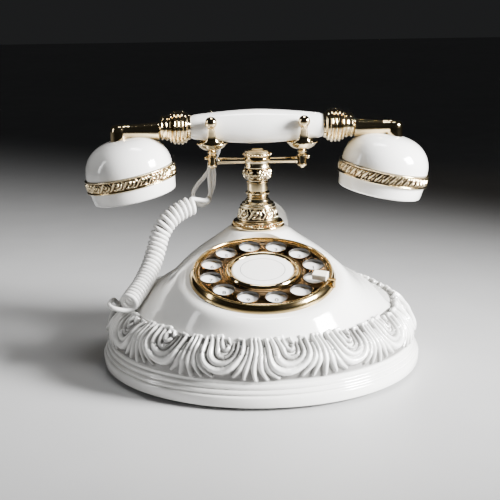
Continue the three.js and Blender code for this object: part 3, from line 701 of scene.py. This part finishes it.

# The finger wheel is one stamped, polished gilt disc with twelve holes. Its face is coloured dark bronze, a
# painted reflection of the dark room it mirrors; the holes' rolled rims, the outer edge and the rings round
# the centre show the gilt, and the walls of the holes are coloured near black as painted shade.
# painted reflection: the dark bronze colour of the face stands in for the dark room mirrored in the gilt
wheel_bronze = finish_with("wheel_bronze", (0.05, 0.030, 0.013), (0.22, 0.13, 0.05), 0.13, 1, 420, 0.05)
# painted shade: the walls of the finger holes are coloured near black where shade falls in them
hole_shade = finish_with("blackened_edge", (0.010, 0.009, 0.008), (0.03, 0.024, 0.018), 0.3, 0, 300, 0.1)
wheel = turned([
    (0, -2.6), (42.6, -2.6), (43, -2.3), (43, -1.5), (42.7, -1.2), (41.8, -1.15), (41.4, -1.35), (41, -1.2),
    (27.2, -1.2), (26.8, -0.95), (26.3, -0.9), (25.9, -1.15), (25.3, -1.2), (24.9, -0.95), (24.4, -0.9),
    (24, -1.1), (0, -1.1),
], 192)
rims = []
for spot in hole_spots:
    cut_by(wheel, turned([(0, -4), (FINGER_HOLE, -4), (FINGER_HOLE, 2), (0, 2)], 56, spot))
    rims.append(turned([
        (FINGER_HOLE - 0.05, -2.6), (FINGER_HOLE + 0.3, -2.6), (FINGER_HOLE + 0.75, -1.3),
        (FINGER_HOLE + 0.6, -0.9), (FINGER_HOLE + 0.3, -0.78), (FINGER_HOLE + 0.02, -0.95),
    ], 56, spot))
wheel = joined(wheel, *rims)
settled(on_dial(wheel), "dial_wheel_disc", "dial_wheel", wheel_bronze, ("finger_wheel",),
        angle=30)
wheel.data.materials.append(hole_shade)
wheel.data.materials.append(warm_gold)
WALL_FACING, HUB_EDGE, RIM_EDGE = 0.3, 24.3, 41.9
hole_centres = [Vector(spot) * MM for spot in hole_spots]
upright = dial_place.to_3x3() @ Vector((0, 0, 1))
for face in wheel.data.polygons:
    seat = dial_place.inverted() @ face.center
    facing = abs(face.normal.dot(upright))
    nearest = min((seat.xy - hole).length for hole in hole_centres)
    # the hole walls take the painted shade; the rims, the outer edge and the hub rings take the gilt
    if facing < WALL_FACING and nearest < (FINGER_HOLE + 0.1) * MM:
        face.material_index = 1
    elif not HUB_EDGE * MM < seat.xy.length < RIM_EDGE * MM:
        face.material_index = 2

# The hub is a gilt ring, turned and pressed on the wheel, that holds a white card under its lip. A fine
# dark line is printed round the card.
hub_ring = turned([
    (20.2, -0.85), (23.5, -0.85), (23.6, -0.3), (23.3, 0.3), (22.7, 0.75), (22, 0.9), (21.3, 0.75),
    (20.8, 0.3), (20.4, 0.1), (20.2, -0.2),
], 160)
settled(on_dial(hub_ring), "hub_ring", "dial_wheel", gold, ("centre_ring",))
card = turned([(0, -0.85), (20, -0.85), (20, -0.25), (19.7, -0.05), (19, 0), (0, 0.02)], 128)
settled(on_dial(card), "hub_card", "dial_wheel", enamel, ("centre_card",))
line_ring = turned([(14.35, -0.02), (14.65, -0.02), (14.62, 0.06), (14.38, 0.06)], 128)
settled(on_dial(line_ring), "card_line", "dial_wheel", ink)

# The finger stop is a small block of moulded ivory plastic on a narrow gilt strap. The strap hooks over
# the bezel and down its outer side, so the stop stays still while the wheel turns.
STOP_TURN, STOP_VOXEL = -20, 0.0002
stop = block((0.0338, -0.0036, 0.0002), (0.0432, 0.0036, 0.0040))
modified(stop, "REMESH", mode="VOXEL", voxel_size=STOP_VOXEL)
modified(stop, "SMOOTH", factor=0.5, iterations=30)
ivory = finish_with("ivory_block", (0.80, 0.76, 0.66), (0.88, 0.84, 0.76), 0.2, 0, 200, 0.03, coat=0.5)
settled(on_dial(stop, STOP_TURN), "stop_block", "base", ivory, ("finger_stop",))
strap = joined(block((0.0425, -0.0013, 0.0002), (0.0488, 0.0013, 0.0009)),
               block((0.0476, -0.0013, -0.0048), (0.0488, 0.0013, 0.0008)))
modified(strap, "REMESH", mode="VOXEL", voxel_size=STOP_VOXEL)
modified(strap, "SMOOTH", factor=0.5, iterations=3)
settled(on_dial(strap, STOP_TURN), "stop_strap", "base", warm_gold)

# The pillar stands on a double foot ring of gilt brass, turned, with a rope of small beads soldered in the
# groove between its two lips. A tube through all its parts holds them down on the casting.
PILLAR = (0, PILLAR_BACK)
foot_ring = turned([
    (5, 85), (18, 85), (18.5, 85.5), (18.6, 86.2), (18.2, 86.9), (17.3, 87.2), (16.6, 87.5), (16.5, 88),
    (16.9, 88.5), (17.1, 89), (16.8, 89.6), (16, 90), (15, 90.1), (5, 90.1),
], 128, PILLAR)
rope = copied_round(ball(0.62, (17.15, PILLAR_BACK, 87.75), 8), 60, PILLAR)
settled(joined(foot_ring, rope), "pillar_foot_ring", "base", gold, ("pillar_foot",), angle=45)

# The bell of the pillar is a brass casting chased with leaf scrolls, under turned steps that narrow to the
# shaft. The scrolls are cut nine times round.
scroll_strokes = [
    stroke([(0.2, 1.0), (1.6, 2.6), (3.4, 5.2), (5.2, 5.6), (6.2, 4.2), (5.2, 3.0), (4.2, 3.8)],
           (0.55, 0.7, 0.6, 0.5), (0.7, 0.9, 0.8)),
    stroke([(4.2, 0.9), (6.0, 1.6), (7.6, 2.4), (8.4, 4.2), (7.4, 5.6)], (0.45, 0.65, 0.4), (0.6, 0.8, 0.6)),
    stroke([(0.8, 5.8), (1.8, 4.8), (2.0, 3.9)], (0.6, 0.5, 0.35), (0.8, 0.7, 0.5)),
    stroke([(6.8, 1.0), (7.8, 0.9)], (0.5, 0.4), (0.7, 0.6), 6),
    stroke([(3.0, 1.3), (3.8, 2.0)], (0.5, 0.4), (0.7, 0.6), 6),
]
leaf_strokes = [
    stroke([(0.2, 0.7), (1.4, 2.6), (3.4, 5.0), (4.6, 6.0)], (0.35, 0.85, 0.8, 0.3), (0.5, 0.95, 0.9, 0.5)),
    stroke([(2.6, 0.8), (3.2, 1.9), (4.2, 3.1)], (0.3, 0.45, 0.25), (0.4, 0.6, 0.4), 14),
    stroke([(0.3, 4.0), (0.9, 5.0), (1.8, 5.9)], (0.3, 0.45, 0.25), (0.4, 0.6, 0.4), 14),
]


def chased(pattern, repeats, radius, tall):
    """A pattern of strokes carried round a piece of this radius, over a strip of this height."""
    length = 2 * math.pi * radius / repeats

    def height(angle, share):
        return relief_height(pattern, angle % (2 * math.pi) * radius, share * tall, length)
    return height


BELL_LOW, BELL_HIGH = 91.4, 98.7
bell_line = rounded_outline([
    (14.1, 90.4), (14.3, 91.2), (13.9, 92.4), (13.1, 94.6), (12.3, 97), (11.8, 98.9),
], 9)
bell = turned([
    (5, 90.4), *bell_line, (12.2, 99.2), (12.3, 99.8), (11.9, 100.3), (11.1, 100.5), (10.9, 101),
    (11.1, 101.4), (10.8, 101.9), (9.6, 102.3), (8.8, 103.2), (8.3, 104.2), (5, 104.2),
], 360, PILLAR)
embossed(bell, chased(scroll_strokes, 9, 13.2, 6.4), BELL_LOW, BELL_HIGH, PILLAR)
settled(bell, "pillar_chased_bell", "base", antique, ("pillar_bell",), angle=50)

# The shaft is turned brass, gilt and left bright: two round rings and a bold one below a plain drum.
# It stands loose on the tube between the bell and the capital.
shaft = turned([
    (5, 104.5), (7.1, 104.5), (7.6, 104.8), (7.6, 105.2), (7.1, 105.5), (6.9, 105.9), (7.5, 106.3),
    (7.5, 106.7), (7, 107.1), (6.9, 107.5), (7.8, 107.8), (8.3, 108.3), (8.4, 108.9), (8.1, 109.4),
    (7.3, 109.8), (7.0, 110.3), (7.1, 111), (7.15, 115.8), (7.7, 116.2), (7.7, 116.7), (7.2, 117.1),
    (5, 117.1),
], 96, PILLAR)
settled(shaft, "pillar_ringed_shaft", "base", gold, ("pillar_shaft",))

# The capital is a brass casting with seven round flowers side by side, and a slot across its top that gives
# the crossbar room to rise and fall.
PETALS, VEIN, EYE = 6, 0.4, 0.28


def flowers(count, tall):
    """Round flower heads side by side, each with petals that fan from its eye."""
    def height(angle, share):
        across = ((angle * count / (2 * math.pi)) % 1 - 0.5) * 2
        rise = (share - 0.5) * 2
        away = np.hypot(across, rise)
        petals = 1 - VEIN + VEIN * np.cos(PETALS * np.arctan2(rise, across))
        head = np.clip(1 - away ** 2.4, 0, 1) ** 0.5 * petals * np.clip(away * 3.5 - 0.3, 0.25, 1)
        eye = np.clip(1 - (away / EYE) ** 2, 0, 1) ** 0.5
        return tall * np.maximum(head, eye)
    return height


CAPITAL_LOW, CAPITAL_HIGH = 117.7, 126.2
capital_line = rounded_outline([
    (7.2, 117.4), (7.4, 118.2), (8.4, 119.6), (9.0, 121.2), (9.2, 123), (9.0, 124.8), (8.5, 126),
], 8)
capital = turned([
    (5, 117.4), *capital_line, (9.0, 126.5), (9.1, 127.2), (8.6, 127.7), (8.5, 130.6), (8.7, 131),
    (6.2, 131), (6.2, 127), (5, 127),
], 240, PILLAR)
embossed(capital, flowers(7, 1.15), CAPITAL_LOW, CAPITAL_HIGH, PILLAR)
cut_by(capital, block((-0.012, 0.0275, 0.1286), (0.012, 0.0325, 0.134)))
settled(capital, "pillar_flower_capital", "base", antique, ("pillar_capital",), angle=60)

# The cradle's crown is a gilt brass cap that rides on the plunger, over the capital. It is turned, drilled
# across for the crossbar, and ringed with a row of tiny balls.
BAR_HEIGHT = 131
crown = turned([
    (0, 127.3), (5.8, 127.3), (5.8, 131.3), (8.9, 131.3), (9.3, 131.7), (9.3, 132.3), (8.9, 132.7),
    (8.7, 133.2), (8.7, 134.3), (9.2, 134.7), (9.5, 135.2), (9.5, 135.8), (9.1, 136.3), (8.7, 136.7),
    (8.8, 137.1), (8.5, 137.6), (7.6, 138.2), (6.4, 138.6), (5.2, 138.8), (4.6, 139.0), (4.4, 139.3),
    (3.4, 139.6), (1.6, 139.75), (0, 139.8),
], 128, PILLAR)


def lying(piece, height, mirror=1):
    """Lays a piece turned about Z along X, over the pillar's axis, at the given height."""
    flip = Matrix.Scale(mirror, 4, (1, 0, 0))
    place = Matrix.Translation((0, PILLAR_BACK * MM, height * MM))
    piece.data.transform(flip @ place @ Matrix.Rotation(math.pi / 2, 4, "Y"))
    if mirror < 0:
        piece.data.flip_normals()
    piece.data.update()
    return piece


cut_by(crown, lying(turned([(0, -14), (2.4, -14), (2.4, 14), (0, 14)], 40), BAR_HEIGHT))
crown_balls = copied_round(ball(0.72, (9.35, PILLAR_BACK, 135.5), 8), 28, PILLAR)
settled(joined(crown, crown_balls), "crown_cap", "cradle", gold, ("cradle_crown",), angle=40)

# The crossbar is a drawn brass rod, gilt like the rest. It passes through the crown and has a small collar
# at each end, where it enters a fork.
bar = turned([
    (0, -27.3), (2.5, -27.3), (2.6, -26.6), (2.15, -26), (2.1, -12), (2.1, 12), (2.15, 26), (2.6, 26.6),
    (2.5, 27.3), (0, 27.3),
], 48)
settled(lying(bar, BAR_HEIGHT), "cradle_bar", "cradle", gold, ("crossbar",))

# Each fork is a turned barrel with a shallow dish on top, and two ball-tipped prongs that flare out of
# the dish's rim in front of the grip and behind it.
FORK_X, PRONG_BACK, PRONG_FOOT = 30.9, 10.5, 0.1441
PRONG_FLARE, PRONG_SPLAY = 12, 1.5
HANDS = (("left", -1), ("right", 1))
for hand, side in HANDS:
    x = FORK_X * side
    barrel = turned([
        (0, 125.4), (0.9, 125.5), (1.5, 126), (1.9, 126.6), (2.9, 126.9), (3.3, 127.5), (3.3, 128.2),
        (2.95, 128.6), (2.95, 134), (3.3, 134.4), (3.3, 135.2), (2.8, 135.8), (2.3, 136.1), (2.4, 136.4),
        (3.2, 136.7), (3.4, 137.1), (3.1, 137.5), (2.2, 137.8), (2.1, 138.2), (3, 138.6),
        (5, 138.9), (7, 139.7), (8.8, 141.1), (9.9, 142.5), (10.6, 143.1),
        (11, 143.4), (10.9, 143.8), (10.3, 143.8), (9.5, 143.2), (8.2, 141.9), (5.8, 140.4), (0, 139.9),
    ], 96, (x, PILLAR_BACK))
    nub = ball(1.3, (x + 4.0 * side, PILLAR_BACK, 133), 12)
    settled(joined(barrel, nub), f"fork_turned_{hand}", "cradle", gold, (f"fork_{hand}",))
    for face, way in (("front", -1), ("back", 1)):
        stem = turned([
            (0, 0), (6.4, 0), (6.6, 0.35), (5.9, 0.9), (4.8, 1.7), (3.9, 2.9), (3.2, 4.5), (2.8, 6.4),
            (2.55, 8.6), (2.3, 10.4), (2.4, 10.9), (2.7, 11.2), (2.7, 11.6), (2.2, 12), (0, 12.2),
        ], 64)
        stem.data.transform(Matrix.Scale(0.5, 4, (0, 1, 0)))
        prong = joined(stem, ball(4.1, (0, 0, 15.4), 24))
        flare = Matrix.Rotation(math.radians(-PRONG_FLARE * way), 4, "X")
        splay = Matrix.Rotation(math.radians(PRONG_SPLAY * side), 4, "Y")
        place = Matrix.Translation((x * MM, (PILLAR_BACK + PRONG_BACK * way) * MM, PRONG_FOOT))
        prong.data.transform(place @ flare @ splay)
        settled(prong, f"prong_turned_{hand}_{face}", "cradle", gold, (f"prong_{hand}_{face}",))

# The grip is a slip-cast spindle, glazed like the base and fattest in the middle. A rod inside it draws
# the two collars up against its ends.
HANDLE_HEIGHT = 154.6
half_grip = [(8.0, 45.1), (8.4, 42.5), (9.0, 37.5), (9.7, 30.9), (10.5, 22), (11.2, 12), (11.6, 0)]
grip_line = rounded_outline([*[(r, -x) for r, x in half_grip], *[(r, x) for r, x in half_grip[-2::-1]]], 3)
grip = turned([(3.3, -45.1), (7.6, -45.1), *grip_line[1:-1], (7.6, 45.1), (3.3, 45.1)], 128)
settled(lying(grip, HANDLE_HEIGHT), "grip_spindle", "handset", glaze, ("handset_grip",))

# The gland is a ribbed white vinyl sleeve, pushed into a hole in the back of the grip. The cord leaves the
# handset through it.
GLAND_X, GLAND_HEIGHT = -0.022, 0.152
gland = turned([
    (0, 8.5), (3.2, 8.5), (3.3, 13), (3.0, 13.5), (3.3, 14), (3.2, 15), (2.8, 15.5), (2.9, 16.2), (2.3, 17),
    (0, 17),
], 48)
place = Matrix.Translation((GLAND_X, PILLAR_BACK * MM, GLAND_HEIGHT))
gland.data.transform(place @ Matrix.Rotation(-math.pi / 2, 4, "X"))
settled(gland, "grip_gland", "handset", vinyl, ("handset_gland",))

# The collars are turned brass, gilt and polished: a lip on the grip, a bank of round ridges, and a narrow
# stepped sleeve that takes the arm.


def ridges(start, count, pitch, radius, shrink, depth):
    """The outline of rounded rings, side by side."""
    points = []
    for i in range(count):
        r, x = radius - shrink * i, start + pitch * i
        points += [(r - depth, x), (r - 0.25, x + 0.22 * pitch), (r, x + 0.5 * pitch)]
        points.append((r - 0.25, x + 0.78 * pitch))
    return points


collar_line = [
    (3.3, 45.3), (8.2, 45.3), (8.6, 45.8), (8.5, 46.5), (8.9, 47), *ridges(47.3, 1, 2.2, 10.6, 0, 1.2),
    *ridges(49.5, 3, 2.6, 11.7, 0.15, 1.4), *ridges(57.4, 1, 2.0, 10.2, 0, 1.0), (8.3, 59.6), (8.1, 60.2),
    *ridges(60.4, 1, 1.5, 8.9, 0, 0.6), (8, 62.2), (7.9, 63.6), *ridges(63.7, 1, 1.5, 8.6, 0, 0.7),
    (7.0, 65.6), (6.6, 66), (3.3, 66),
]
for hand, side in HANDS:
    collar_piece = lying(turned(collar_line, 112), HANDLE_HEIGHT, mirror=side)
    settled(collar_piece, f"collar_turned_{hand}", "handset", gold, (f"collar_{hand}",),
            angle=50)

# Each arm is a tapered brass tube, brazed into an upright socket that stands on the cup's dome. The joint
# is filed smooth before gilding.
CUP_TILT = math.radians(11.6)
CUP_X, CUP_HEIGHT = 86.9, 121.1


def on_cup(piece, side):
    """Puts a piece made flat at the origin at its tilted cup."""
    place = Matrix.Translation((side * CUP_X * MM, PILLAR_BACK * MM, CUP_HEIGHT * MM))
    piece.data.transform(place @ Matrix.Rotation(side * CUP_TILT, 4, "Y"))
    piece.data.update()
    return piece


dome_line = rounded_outline([
    (29.9, 4.6), (29.85, 7.2), (29.3, 10.6), (27.9, 14.6), (25.3, 18.6), (21.6, 22), (16.8, 24.6),
    (11, 26.1), (5.4, 26.6), (0.1, 26.7),
], 5)
ARM_HEIGHT, SOCKET_X, DOME_GAP = 152.4, 94.1, 0.05
for hand, side in HANDS:
    sleeve = turned([
        (0, 66.3), (6.1, 66.3), (6.3, 67), (6.0, 67.8), (5.4, 76), (4.8, 86), (4.8, 94), (0, 94),
    ], 64)
    socket = turned([
        (0, 138), (5.8, 138), (5.8, 152.6), (5.5, 154.6), (4.6, 156.1), (3.0, 156.8), (1.2, 157), (0, 157),
    ], 64, (SOCKET_X * side, PILLAR_BACK))
    arm = joined(lying(sleeve, ARM_HEIGHT, mirror=side), socket)
    modified(arm, "REMESH", mode="VOXEL", voxel_size=0.00035)
    modified(arm, "SMOOTH", factor=0.5, iterations=5)
    room = [(r + DOME_GAP, z + DOME_GAP) for r, z in dome_line[:-1]]
    cut_by(arm, on_cup(turned([(0, 4), *room, (0, 26.75)], 96), side))
    settled(arm, f"arm_cast_{hand}", "handset", gold, (f"arm_{hand}",), angle=60)

# The cups are slip-cast domes with the same glaze as the base. Each is a hollow shell that holds the
# capsule, and its rim sits on the gilt band.
DOME_WALL = 2.8
outer = [p for p in dome_line if p[0] > 1]
inner = [(r - DOME_WALL, max(z - DOME_WALL, 4.6)) for r, z in dome_line if r - DOME_WALL > 1]
for hand, side in HANDS:
    dome = turned([*outer, (0.3, 26.7), (0.3, 23.9), *inner[::-1]], 144)
    settled(on_cup(dome, side), f"dome_{hand}", "handset", glaze, (f"cup_shell_{hand}",))

# The gilt band below each dome is a cast ring, chased between two fine wires: scrolls on the left band,
# slanting leaves on the right one.
BAND_LOW, BAND_HIGH, BAND_RADIUS = -4.25, 4.25, 30.7
CHASED_LOW, CHASED_HIGH = -3.3, 3.3
for hand, side, pattern, repeats in (("left", -1, scroll_strokes, 22), ("right", 1, leaf_strokes, 40)):
    wire_below = [(27.3, BAND_LOW), (31.2, BAND_LOW), (31.55, -4.1), (31.6, -3.8), (31.4, -3.5)]
    chased_strip = [(BAND_RADIUS, h) for h in np.linspace(CHASED_LOW, CHASED_HIGH, 30)]
    wire_above = [(31.4, 3.5), (31.6, 3.8), (31.55, 4.1), (31.2, BAND_HIGH), (27.3, BAND_HIGH)]
    band_piece = turned([*wire_below, *chased_strip, *wire_above], 720)
    chasing = chased(pattern, repeats, BAND_RADIUS, CHASED_HIGH - CHASED_LOW)
    embossed(band_piece, chasing, CHASED_LOW, CHASED_HIGH)
    settled(on_cup(band_piece, side), f"filigree_band_{hand}", "handset", antique,
            (f"cup_band_{hand}",), angle=0)

# The mouth and ear caps close the cups from below. They are glazed like the domes, taper below the band,
# and are pierced with rings of small holes: (radius of the ring, holes in it).
MOUTH_HOLES, EAR_HOLES = ((5, 6), (10, 12), (15, 18)), ((4, 6), (8, 10))
DRILL = [(0, -14), (0.9, -14), (0.9, -7), (0, -7)]
for use, side, rings_of_holes in (("mouth", -1, MOUTH_HOLES), ("ear", 1, EAR_HOLES)):
    cap = turned([
        (0, -11.2), (12, -11.3), (19, -11.7), (22, -12.4), (24.4, -13.4), (26, -13.75), (27.4, -13.7),
        (28.3, -13.2), (28.7, -12.2), (29.3, -8), (29.8, -4.7), (29.6, -4.5), (26.6, -4.5), (26.4, -8.4),
        (0, -8.3),
    ], 144)
    holes = [copied_round(turned(DRILL, 16, (circle, 0)), count) for circle, count in rings_of_holes]
    holes.append(turned(DRILL, 16))
    cut_by(cap, joined(*holes))
    settled(on_cup(cap, side), f"{use}_cap_pierced", "handset", glaze, (f"{use}_cap",),
            angle=40)
